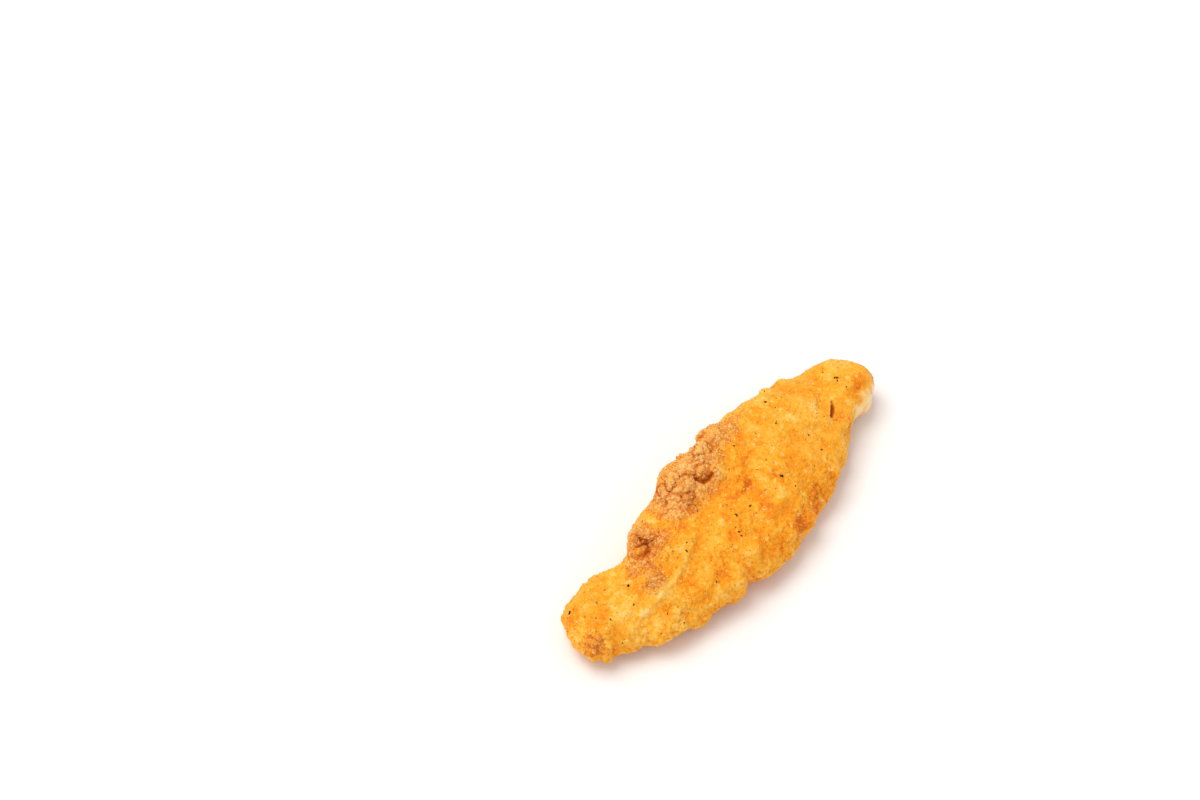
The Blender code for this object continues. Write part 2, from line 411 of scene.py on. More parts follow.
@dataclass(frozen=True)
class BitFinish:
    """The finish of scattered bits, which vary from bit to bit and over each one."""

    name: str
    light: Colour
    dark: Colour
    roughness: float = 0.6
    specular: float = 0.15
    glow_through: float = 0.0
    glow_depth: float = 0.6 * MM
    spot_size: float = 0.5 * MM
    grain_size: float = 0.3 * MM
    grain_depth: float = 0.12 * MM
    grain_strength: float = 0.4

    def material(self) -> bpy.types.Material:
        """Makes the material, which reads each bit's own tone."""
        graph = Graph(self.name)
        spots = graph.cloud(self.spot_size, 2.0)
        share = (graph.attribute("tone") + 0.6 * spots - 0.3).eased(0.1, 0.9)
        grain = graph.cloud(self.grain_size, 2.0)
        return graph.surface(
            Base_Color=graph.blend(share, self.dark, self.light),
            Roughness=self.roughness + 0.1 * spots,
            Normal=graph.bump(grain, self.grain_depth, self.grain_strength),
            Specular_IOR_Level=self.specular,
            Subsurface_Weight=self.glow_through,
            Subsurface_Radius=GLOW_COLOURS,
            Subsurface_Scale=self.glow_depth,
        )


@dataclass(frozen=True)
class FloorFinish:
    """The plain white surface that the tender lies on."""

    white: Colour = (0.93, 0.925, 0.92)
    dimming: float = 0.985
    mottle_size: float = 120.0 * MM
    roughness: float = 0.8
    specular: float = 0.1

    def material(self) -> bpy.types.Material:
        """Makes the material, with a faint mottle."""
        graph = Graph("white_floor")
        dimmed = tuple(self.dimming * value for value in self.white)
        colour = graph.blend(graph.cloud(self.mottle_size, 2.0), self.white, dimmed)
        return graph.surface(
            Base_Color=colour,
            Roughness=self.roughness,
            Specular_IOR_Level=self.specular,
        )


def smooth_step(values: np.ndarray, low: float, high: float) -> np.ndarray:
    """Goes smoothly from 0 at low to 1 at high.

    Args:
        values: what is eased.
        low: the value that gives 0.
        high: the value that gives 1.

    Returns:
        The eased values.
    """
    share = np.clip((values - low) / (high - low), 0.0, 1.0)
    return share * share * (3.0 - 2.0 * share)


def cloud_at(points: np.ndarray, size: float, shift: float) -> np.ndarray:
    """Smooth noise from about -1 to 1 at each point.

    Args:
        points: places in metres, one row each.
        size: how large a lump is, in metres.
        shift: moves the noise, so that layers differ.

    Returns:
        One value for each point.
    """
    scaled = points / size + shift
    return np.fromiter((noise.noise(Vector(row)) for row in scaled), float, len(scaled))


def granules_at(points: np.ndarray, size: float, shift: float) -> np.ndarray:
    """Domes packed side by side, 1 at a dome's middle and 0 or less in the creases.

    Args:
        points: places in metres, one row each.
        size: how far apart the domes are, in metres.
        shift: moves the domes, so that layers differ.

    Returns:
        One value for each point.
    """
    scaled = points / size + shift
    nearest = (noise.voronoi(Vector(row), distance_metric="DISTANCE")[0] for row in scaled)
    near = np.fromiter((pair[0] for pair in nearest), float, len(scaled))
    return 1.0 - (near / 0.62) ** 2


def plan_of(points: np.ndarray, half_length: float) -> np.ndarray:
    """How far along from the broad end and across each point is, in millimetres."""
    return points[:, :2] / MM + np.array((half_length / MM, 0.0))


def spots_at(plan: np.ndarray, spots: Sequence[Spot]) -> np.ndarray:
    """How much each point lies in soft round spots, seen from above.

    Args:
        plan: along and across of each point, in millimetres.
        spots: along, across, half spread along, half spread across and strength.

    Returns:
        One value for each point.
    """
    total = np.zeros(len(plan))
    for along, across, spread_x, spread_y, strength in spots:
        away = ((plan[:, 0] - along) / spread_x) ** 2 + ((plan[:, 1] - across) / spread_y) ** 2
        total += strength * np.exp(-away)
    return total


def knobs_at(plan: np.ndarray, knobs: Sequence[Spot], uneven: np.ndarray) -> np.ndarray:
    """How far steep-sided knobs of crumb stand up at each point, in millimetres.

    Args:
        plan: along and across of each point, in millimetres.
        knobs: along, across, half length along, half width across and height.
        uneven: draws a knob's rim in where it is positive and out where it is negative.

    Returns:
        One height for each point.
    """
    height = np.zeros(len(plan))
    for along, across, reach_x, reach_y, most in knobs:
        away = ((plan[:, 0] - along) / reach_x) ** 2 + ((plan[:, 1] - across) / reach_y) ** 2
        height = np.maximum(height, most * np.sqrt(np.clip(1.0 - away - uneven, 0.0, 1.0)))
    return height


def line_distance(plan: np.ndarray, start: Place, end: Place) -> np.ndarray:
    """Distance of each point from a straight line, seen from above.

    Args:
        plan: along and across of each point, in millimetres.
        start: where the line starts.
        end: where it ends.

    Returns:
        One distance for each point, in millimetres.
    """
    place = plan - np.array(start)
    way = np.array(end) - np.array(start)
    share = np.clip(place @ way / (way @ way), 0.0, 1.0)
    return np.linalg.norm(place - share[:, None] * way, axis=1)


def kept_below(heights: np.ndarray, top: float, soft: float = 0.5 * MM) -> np.ndarray:
    """Presses what stands above a height softly down to it.

    Args:
        heights: heights of points.
        top: the height that none passes.
        soft: how far below it the pressing starts.

    Returns:
        The new heights.
    """
    over = np.maximum(heights - (top - soft), 0.0)
    return np.minimum(heights, top - soft) + soft * (1.0 - np.exp(-over / soft))


def rows_of(items: Any, name: str, width: int, kind: type = float) -> np.ndarray:
    """Reads one value from every vertex, normal or edge of a mesh.

    Args:
        items: the mesh's vertices, normals or edges.
        name: the value's name.
        width: how many numbers the value has.
        kind: the type of the numbers.

    Returns:
        One row for each.
    """
    flat = np.empty(len(items) * width, dtype=kind)
    items.foreach_get(name, flat)
    return flat.reshape(-1, width)


def mesh_points(mesh: bpy.types.Mesh) -> np.ndarray:
    """The places of a mesh's vertices, one row each."""
    return rows_of(mesh.vertices, "co", 3)


def mesh_normals(mesh: bpy.types.Mesh) -> np.ndarray:
    """The normals at a mesh's vertices, one row each."""
    return rows_of(mesh.vertex_normals, "vector", 3)


def mesh_edges(mesh: bpy.types.Mesh) -> np.ndarray:
    """The pairs of vertices that a mesh's edges join, one row each."""
    return rows_of(mesh.edges, "vertices", 2, np.int64)


def put_points(mesh: bpy.types.Mesh, points: np.ndarray) -> None:
    """Moves a mesh's vertices to new places."""
    mesh.vertices.foreach_set("co", points.ravel())
    mesh.update()


def put_values(mesh: bpy.types.Mesh, name: str, values: np.ndarray) -> None:
    """Stores one number for each vertex under a name."""
    layer = mesh.attributes.new(name, "FLOAT", "POINT")
    layer.data.foreach_set("value", values.astype(np.float32))


def averaged(points: np.ndarray, edges: np.ndarray, steps: int, share: float = 0.5) -> np.ndarray:
    """Smooths points by moving each towards the middle of its neighbours.

    Args:
        points: one row each.
        edges: pairs of neighbours.
        steps: how often it is done.
        share: how far a point moves each time, from 0 to 1.

    Returns:
        The smoothed points.
    """
    first, second = edges[:, 0], edges[:, 1]
    count = len(points)
    links = np.bincount(first, minlength=count) + np.bincount(second, minlength=count)
    smooth = points.copy()
    for _ in range(steps):
        for axis in range(smooth.shape[1]):
            column = smooth[:, axis]
            near = np.bincount(first, column[second], count) + np.bincount(second, column[first], count)
            smooth[:, axis] = column + share * (near / links - column)
    return smooth


def raised(mesh: bpy.types.Mesh, edges: np.ndarray, steps: int, most: float) -> np.ndarray:
    """How much each point of a mesh stands up from what is round it.

    Args:
        mesh: the mesh.
        edges: its pairs of neighbours.
        steps: how far round each point is looked at, in steps of smoothing.
        most: the height in metres that counts as 1.

    Returns:
        One value for each point, from -1 in hollows to 1 on peaks.
    """
    points = mesh_points(mesh)
    away = points - averaged(points, edges, steps)
    return np.clip(np.einsum("ij,ij->i", away, mesh_normals(mesh)) / most, -1.0, 1.0)


def added(name: str, data: bpy.types.ID) -> bpy.types.Object:
    """Adds a new object with this data to the scene."""
    obj = bpy.data.objects.new(name, data)
    bpy.context.scene.collection.objects.link(obj)
    return obj


def aimed(obj: bpy.types.Object, place: Vector, target: Vector) -> None:
    """Puts a camera or light at a place and turns it to face a target."""
    obj.location = place
    obj.rotation_mode = "QUATERNION"
    obj.rotation_quaternion = (place - target).to_track_quat("Z", "Y")


def evaluated_mesh(obj: bpy.types.Object) -> None:
    """Makes what an object's modifiers give its own mesh, and takes them off.

    Args:
        obj: the object.
    """
    graph = bpy.context.evaluated_depsgraph_get()
    result = bpy.data.meshes.new_from_object(obj.evaluated_get(graph))
    obj.modifiers.clear()
    obj.data = result


def dress(piece: bpy.types.Object, material: bpy.types.Material) -> None:
    """Gives a piece its material and smooth shading, and lets it ride on the part.

    Args:
        piece: the piece.
        material: its material.
    """
    piece.data.materials.clear()
    piece.data.materials.append(material)
    piece.data.shade_smooth()
    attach(piece, BODY)
    log.info("%s: %d faces", piece.name, len(piece.data.polygons))


@dataclass(frozen=True)
class Mark:
    """A ridge or crease along a line on the upper face, in millimetres, with painted light along a ridge
    and painted shade along a crease.
    """

    places: tuple[Place, ...]
    half_width: float
    height: float
    # How much paler the colour is on the line: above 0 painted light on a ridge, below 0 painted shade in
    # a crease.
    tone: float

    def strength(self, plan: np.ndarray) -> np.ndarray:
        """How near each point is to the line.

        Args:
            plan: along and across of each point, in millimetres.

        Returns:
            From 0 beside the line to 1 on it.
        """
        ways = zip(self.places, self.places[1:])
        away = np.min([line_distance(plan, start, end) for start, end in ways], axis=0)
        return np.exp(-((away / self.half_width) ** 2))


@dataclass
class Surface:
    """Points of the crust: their places, the directions that they face, and along and across."""

    points: np.ndarray
    normals: np.ndarray
    plan: np.ndarray

    def upper(self) -> np.ndarray:
        """From 0 where the crust faces down to 1 where it faces up."""
        return smooth_step(self.normals[:, 2], -0.2, 0.3)

    def steep(self, upright: float, level: float) -> np.ndarray:
        """From 1 where the normal rises by upright or less to 0 where by level or more."""
        return 1.0 - smooth_step(self.normals[:, 2], upright, level)

    def low(self, start: float, end: float) -> np.ndarray:
        """From 1 at or below the start height to 0 at the end height."""
        return 1.0 - smooth_step(self.points[:, 2], start, end)


@dataclass(frozen=True)
class FaceMap:
    """What lies where on the upper face: along from the broad end and across, in millimetres."""

    # Clusters of browned crumb.
    crags: tuple[Spot, ...] = (
        (53.0, 10.5, 6.2, 4.2, 1.0), (47.5, 8.5, 3.6, 3.4, 0.7), (48.0, 13.2, 3.4, 2.4, 0.5),
        (60.5, 13.0, 4.2, 3.9, 0.8), (68.5, 14.8, 6.6, 2.5, 0.55), (49.0, 6.0, 2.2, 2.2, 0.5),
        (32.5, 7.5, 3.0, 3.4, 0.95), (35.0, 4.2, 2.6, 2.4, 0.5), (27.5, 3.5, 3.0, 2.6, 0.5),
        (25.5, -3.8, 2.6, 1.7, 0.5), (2.5, -3.5, 2.0, 2.5, 0.3),
    )
    # Places, mostly on the edges, with coarse but golden breading.
    rough: tuple[Spot, ...] = (
        (3.0, -4.0, 4.0, 4.5, 0.7), (10.0, -9.6, 4.5, 2.2, 0.7), (18.0, -14.0, 7.0, 2.4, 0.7),
        (30.0, -17.5, 9.0, 2.4, 0.7), (48.0, -19.5, 8.0, 2.4, 0.5), (1.5, 4.0, 2.2, 4.0, 0.5),
        (84.0, -14.5, 8.0, 3.0, 0.35), (82.0, 15.0, 9.0, 3.0, 0.4), (20.0, 12.0, 10.0, 2.4, 0.35),
        (34.0, 3.0, 5.0, 4.0, 0.4),
    )
    # Deep orange spots: some are the crust's own colour, and some are painted shade in and below the
    # folds and low on the -Y side.
    deep: tuple[Spot, ...] = (
        (116.6, 2.2, 2.2, 1.8, 1.6), (112.4, 0.9, 3.2, 1.3, 0.8), (107.7, 9.2, 1.5, 1.9, 0.5),
        (87.5, 1.8, 1.2, 1.0, 0.7), (95.0, 4.8, 1.6, 1.2, 0.5), (77.0, 4.6, 1.9, 1.2, 0.5),
        (23.7, -10.1, 1.5, 1.3, 0.8), (84.0, -14.5, 10.0, 3.2, 1.0), (66.0, -17.8, 13.0, 2.6, 0.9),
        (70.0, -18.4, 5.0, 2.6, 0.6), (64.3, -10.0, 2.0, 1.8, 1.8), (62.0, -13.0, 4.0, 2.4, 0.4),
        (60.0, -9.5, 5.5, 3.4, 0.45), (61.0, -2.2, 2.6, 1.3, 0.8), (67.0, 3.6, 2.2, 1.8, 0.8),
        (54.0, -6.5, 4.5, 3.0, 0.35), (47.5, -1.0, 4.0, 5.0, 0.4), (47.5, -14.5, 5.5, 3.2, 0.4),
        (76.0, 0.8, 3.6, 3.2, 0.35), (97.2, -0.5, 3.4, 2.6, 0.4), (60.0, 2.0, 5.0, 3.0, 0.2),
        (3.0, 6.0, 3.0, 3.4, 1.5), (2.6, -4.2, 3.4, 3.8, 1.15), (112.2, 6.7, 1.3, 1.0, 0.6),
        (10.0, -9.6, 4.5, 1.5, 0.7), (33.0, 3.0, 7.0, 5.0, 0.5), (30.4, 5.2, 1.7, 1.3, 1.0),
        (31.9, 9.2, 1.2, 1.2, 1.0), (58.5, 9.2, 1.5, 1.0, 0.5), (49.6, 6.5, 1.1, 1.1, 1.0),
        (47.4, 15.4, 2.6, 2.2, 0.5), (31.0, 7.0, 3.4, 3.4, 0.6), (60.5, -1.2, 3.4, 1.5, 0.5),
        (103.5, 0.6, 2.4, 2.0, 0.4),
    )
    # Pale spots of flour.
    pale: tuple[Spot, ...] = (
        (91.0, 2.5, 10.0, 6.0, 0.6), (109.5, 6.0, 5.0, 3.5, 0.7), (18.0, -9.0, 8.0, 4.5, 0.75),
        (64.5, 4.5, 1.8, 1.8, 0.5), (44.0, -7.7, 2.0, 1.6, 0.5), (38.9, -10.3, 1.8, 1.2, 0.7),
        (50.1, -15.3, 1.6, 1.2, 0.5), (68.5, 6.5, 1.8, 1.4, 0.5), (54.5, 12.4, 3.6, 2.4, 1.0),
        (17.0, -9.6, 4.0, 3.0, 0.5), (61.5, 4.6, 2.4, 1.7, 0.5), (42.0, 6.4, 2.6, 2.4, 0.6),
        (44.4, 12.2, 2.2, 2.0, 0.8), (70.6, 12.4, 3.4, 2.4, 0.7), (22.2, -3.6, 2.2, 1.7, 0.45),
    )
    # Knobs of crumb that stand up, mostly from the clusters and the broad end.
    knobs: tuple[Spot, ...] = (
        (58.6, 9.6, 2.3, 1.3, 1.2), (55.2, 12.6, 2.2, 1.7, 0.8), (49.4, 6.6, 1.3, 1.5, 1.0),
        (51.2, 9.4, 1.6, 1.2, 0.6), (46.6, 13.6, 1.6, 2.0, 0.8), (60.8, 14.2, 1.8, 1.4, 0.7),
        (58.6, 17.4, 1.4, 1.3, 1.0), (68.3, 17.3, 1.2, 1.2, 1.0), (65.4, 14.4, 2.0, 1.3, 0.6),
        (31.7, 9.6, 1.3, 1.4, 1.1), (30.2, 5.4, 2.0, 1.3, 1.1), (34.6, 4.2, 1.2, 1.1, 0.7),
        (25.3, -3.8, 1.0, 0.9, 0.6), (27.2, -4.8, 0.8, 0.8, 0.5), (1.8, -2.7, 1.3, 1.5, 0.8),
        (4.2, -6.2, 1.6, 1.1, 0.8), (8.6, -9.4, 1.6, 1.0, 0.6), (23.7, -10.1, 0.8, 0.7, 0.5),
    )
    # Soft bulges and one dent along the outline, and one lump beside the fold.
    bulges: tuple[Spot, ...] = (
        (10.8, -8.8, 3.4, 2.6, 1.4), (44.0, -18.0, 2.8, 3.2, 1.6), (100.0, 16.5, 5.0, 3.0, 0.9),
        (121.5, 5.0, 3.0, 3.2, 0.9), (119.5, 12.5, 4.0, 3.0, -0.9), (66.5, 19.0, 2.6, 3.0, 1.5),
        (64.0, 2.4, 2.6, 2.4, 0.5),
    )
    # The patch without breading at the tip, as middles with heights and half lengths.
    bare_places: tuple[Ellipsoid, ...] = (
        ((111.4, -3.2, 7.4), (4.4, 4.2, 6.0)),
        ((115.8, -2.0, 7.2), (4.8, 4.1, 7.4)),
        ((119.8, 0.4, 8.8), (2.8, 3.4, 4.4)),
    )
    # The slit near the tip, widest at its middle.
    slit: tuple[Spot, ...] = (
        (100.9, -1.2, 0.42, 0.42, 1.0), (101.6, -0.8, 0.54, 0.54, 1.0), (102.4, -0.3, 0.68, 0.68, 1.0),
        (103.2, 0.3, 0.76, 0.76, 1.0), (104.0, 1.0, 0.70, 0.70, 1.0), (104.7, 1.8, 0.56, 0.56, 1.0),
        (105.3, 2.6, 0.42, 0.42, 1.0),
    )
    slit_depth: float = 1.0
    bare_ragged: float = 2.8 * MM
    bare_frayed: float = 1.0 * MM
    deepest: float = -1.3
    side_patch: float = 4.5 * MM
    # Painted shade: how much browner the crust is low on the sides, up to 4 mm above the floor.
    low_shade_brown: float = 0.18
    # Painted shade: how much deeper the colour is low on the sides, up to 10 mm above the floor.
    low_side_shade: float = 0.55
    # The ridge, the hollow beside it, the folds and the crevices; their tones paint light where a mark
    # stands up and shade where it sinks.
    marks: tuple[Mark, ...] = (
        Mark(((43.0, -1.5), (35.2, -5.3), (29.0, -7.0), (23.2, -7.4), (17.0, -6.6)), 1.2, 0.9, 0.5),
        Mark(((42.0, 2.2), (34.5, -1.2), (28.5, -3.4), (20.5, -3.6)), 2.2, -1.0, -0.55),
        Mark(((66.0, -1.4), (62.8, -2.0), (60.0, -1.6), (57.4, 0.6)), 1.1, -0.5, -0.8),
        Mark(((70.5, 4.4), (68.6, 2.4), (66.4, -0.4)), 1.5, -0.5, -0.7),
        Mark(((55.7, 9.0), (56.8, 7.4), (59.6, 7.2)), 0.55, -1.3, -2.0),
        Mark(((46.6, 15.0), (46.2, 11.5)), 0.8, -0.5, -0.4),
        Mark(((32.4, 8.6), (33.2, 6.6)), 0.9, -0.8, -1.6),
        Mark(((84.0, 1.0), (80.0, -2.5), (73.0, -3.5), (66.0, -7.0)), 2.2, -0.25, -0.25),
        Mark(((70.0, -9.0), (62.0, -12.5)), 1.6, 0.35, 0.3),
        Mark(((104.0, 8.5), (97.0, 5.0), (92.0, 5.5)), 1.3, -0.25, -0.3),
    )

    def browned(self, surface: Surface) -> np.ndarray:
        """How browned the crust is: the crags, and a little low on the sides, which is painted shade.

        Args:
            surface: the crust's points.

        Returns:
            One value from 0 to 1 for each point.
        """
        kept = smooth_step(cloud_at(surface.points, self.side_patch, 5.9), -0.15, 0.3)
        # Painted shade low on the sides, near the floor.
        low = surface.low(0.5 * MM, 4.0 * MM) * self.low_shade_brown
        patchy = spots_at(surface.plan, self.crags) * (1.0 - surface.steep(0.0, 0.55) * (1.0 - kept))
        return np.clip(patchy * surface.upper() + low, 0.0, 1.0)

    def bare(self, surface: Surface) -> np.ndarray:
        """How bare of breading the crust is, in one uneven patch on the tip.

        Args:
            surface: the crust's points.

        Returns:
            One value from 0 to 1 for each point.
        """
        points = surface.points
        place = np.column_stack((surface.plan, points[:, 2] / MM))
        away = [
            np.linalg.norm((place - np.array(middle)) / np.array(reach), axis=1)
            for middle, reach in self.bare_places
        ]
        ragged = 0.4 * cloud_at(points, self.bare_ragged, 6.1)
        frayed = 0.24 * cloud_at(points, self.bare_frayed, 1.7)
        return 1.0 - smooth_step(np.min(away, axis=0) + (ragged + frayed), 0.2, 1.1)

    def slit_share(self, plan: np.ndarray) -> np.ndarray:
        """From 0 beside the tapered slit near the tip to 1 in it, for each point."""
        return smooth_step(spots_at(plan, self.slit), 0.35, 1.0)

    def tone(self, surface: Surface) -> np.ndarray:
        """How much paler than the rest, or below 0 deeper, the crust's colour is: pale and deep spots,
        some of the deep ones painted shade, painted light and shade along the marks, and painted shade
        low on the sides.

        Args:
            surface: the crust's points.

        Returns:
            One value for each point.
        """
        total = spots_at(surface.plan, self.pale) - spots_at(surface.plan, self.deep)
        for mark in self.marks:
            total += mark.tone * mark.strength(surface.plan)
        # Painted shade, deeper low on the sides.
        low = surface.low(1.0 * MM, 10.0 * MM)
        return np.maximum(total * surface.upper() - self.low_side_shade * low, self.deepest)


@dataclass
class Ground:
    """The crust as the bits find it: its points, the directions they face and its masks."""

    points: np.ndarray
    normals: np.ndarray
    browned: np.ndarray
    clear: np.ndarray
    # How much paler the bits are here, with the crust's painted light and shade carried over.
    tone: np.ndarray


@dataclass
class CrustSkin:
    """The fried coating as one fine skin over the solid."""

    half_length: float
    top: float
    face: FaceMap = field(default_factory=FaceMap)
    weld: float = 0.002 * MM
    voxel: float = 0.40 * MM
    settle_steps: int = 4
    calm_steps: int = 26
    kept_rough: float = 1.4
    lump_steps: int = 90
    lump_height: float = 0.5 * MM
    peak_steps: int = 10
    peak_height: float = 0.14 * MM
    coarse_size: float = 2.5 * MM
    medium_size: float = 1.15 * MM
    face_grain: float = 0.16 * MM
    grain_patch: float = 8.0 * MM
    crag_grain: float = 0.95 * MM
    side_crags: float = 0.5
    side_patch: float = 9.0 * MM
    swell_size: float = 4.2 * MM
    swell_height: float = 0.22 * MM
    bare_bulge: float = 0.65 * MM
    lying_height: float = 1.2 * MM

    def fine_copy(self, solid: bpy.types.Object) -> bpy.types.Object:
        """A copy of the solid with small even faces.

        Args:
            solid: the CAD node.

        Returns:
            The new object.
        """
        skin = added("crust", solid.data.copy())
        skin.modifiers.new("Welded", "WELD").merge_threshold = self.weld
        rounded = skin.modifiers.new("Rounded", "SUBSURF")
        rounded.levels = rounded.render_levels = 1
        even = skin.modifiers.new("Even", "REMESH")
        even.mode, even.voxel_size = "VOXEL", self.voxel
        evaluated_mesh(skin)
        return skin

    def settled(self, mesh: bpy.types.Mesh) -> tuple[np.ndarray, np.ndarray]:
        """Smooths the facets away, and the small bumps too outside the crags.

        Args:
            mesh: the fine copy's mesh, which takes the new points.

        Returns:
            The new points, and how much each stands up from what is round it, from -1 to 1.
        """
        edges = mesh_edges(mesh)
        points = averaged(mesh_points(mesh), edges, self.settle_steps)
        calm = averaged(points, edges, self.calm_steps)
        crags = spots_at(plan_of(points, self.half_length), self.face.crags)
        rough = np.clip(self.kept_rough * crags, 0.0, 1.0)
        points = calm + rough[:, None] * (points - calm)
        put_points(mesh, points)
        return points, raised(mesh, edges, self.lump_steps, self.lump_height)

    def breading(self, surface: Surface, browned: np.ndarray, bare: np.ndarray) -> np.ndarray:
        """How far the batter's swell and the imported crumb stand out, in metres.

        Args:
            surface: the crust's points.
            browned: how browned each place is.
            bare: how bare each place is.

        Returns:
            One height for each point.
        """
        points = surface.points
        coarse = granules_at(points, self.coarse_size, 3.1)
        medium = granules_at(points, self.medium_size, 7.7)
        swell = cloud_at(points, self.swell_size, 11.3) + 0.6 * cloud_at(points, self.swell_size / 2, 5.2)
        patchy = smooth_step(cloud_at(points, self.grain_patch, 2.9), -0.35, 0.35)
        height = self.swell_height * swell + self.face_grain * (0.4 + 0.8 * patchy) * medium
        height = height * (1.0 - 0.8 * bare) + self.bare_bulge * bare
        drifts = smooth_step(cloud_at(points, self.side_patch, 7.3), -0.2, 0.5)
        steep = surface.steep(0.1, 0.6) * drifts
        rough = spots_at(surface.plan, self.face.rough) + self.side_crags * steep
        craggy = np.clip(browned + rough, 0.0, 1.0) * (1.0 - bare)
        return height + self.crag_grain * craggy * (0.65 * coarse + 0.35 * medium)

    def placed_forms(self, surface: Surface) -> np.ndarray:
        """How far the knobs, bulges, marks and the slit stand out or lie deep, in metres.

        Args:
            surface: the crust's points.

        Returns:
            One height for each point.
        """
        uneven = 0.55 * cloud_at(surface.points, 0.9 * MM, 4.6)
        height = knobs_at(surface.plan, self.face.knobs, uneven)
        height += spots_at(surface.plan, self.face.bulges)
        for mark in self.face.marks:
            height += mark.height * mark.strength(surface.plan)
        return (height - self.face.slit_depth * self.face.slit_share(surface.plan)) * MM

    def build(self, solid: bpy.types.Object, finish: CrustFinish) -> Ground:
        """Makes the skin and its masks.

        Args:
            solid: the CAD node that the skin stands for.
            finish: what the skin is dressed with.

        Returns:
            The skin as the bits find it.
        """
        skin = self.fine_copy(solid)
        mesh = skin.data
        points, lump = self.settled(mesh)
        surface = Surface(points, mesh_normals(mesh), plan_of(points, self.half_length))
        browned = self.face.browned(surface)
        bare = self.face.bare(surface)
        slit = self.face.slit_share(surface.plan) * surface.upper()
        tone = self.face.tone(surface)
        height = self.breading(surface, browned, bare) + self.placed_forms(surface)
        height *= smooth_step(points[:, 2], 0.0, self.lying_height)
        points = points + surface.normals * height[:, None]
        points[:, 2] = kept_below(np.maximum(points[:, 2], 0.0), self.top)
        put_points(mesh, points)
        # lump and peak measure how far each point stands up; the material paints light on the raised
        # places and shade in the hollows and creases from them.
        masks = {"lump": lump, "tone": tone, "browned": browned, "bare": bare, "slit": slit}
        masks["peak"] = raised(mesh, mesh_edges(mesh), self.peak_steps, self.peak_height)
        for name, values in masks.items():
            put_values(mesh, name, values)
        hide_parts(CAD_NODE)
        dress(skin, finish.material())
        clear = np.clip(2.0 * bare + 2.0 * slit, 0.0, 1.0)
        # The bits take the crust's tone with its painted shade, and are deeper in creases and paler on
        # peaks as painted shade and light.
        bit_tone = 0.3 * tone + 0.25 * (browned - 0.8) + 0.2 * masks["peak"]
        return Ground(points, mesh_normals(mesh), browned, clear, bit_tone)


class BitKind(Enum):
    """What a scattered bit is."""

    BROWN_CRUMB = "brown_crumbs"
    GOLDEN_GRAIN = "golden_grains"
    ORANGE_NUGGET = "orange_nuggets"
    CREAM_FLECK = "cream_flecks"
    PEPPER_FLAKE = "pepper_flakes"


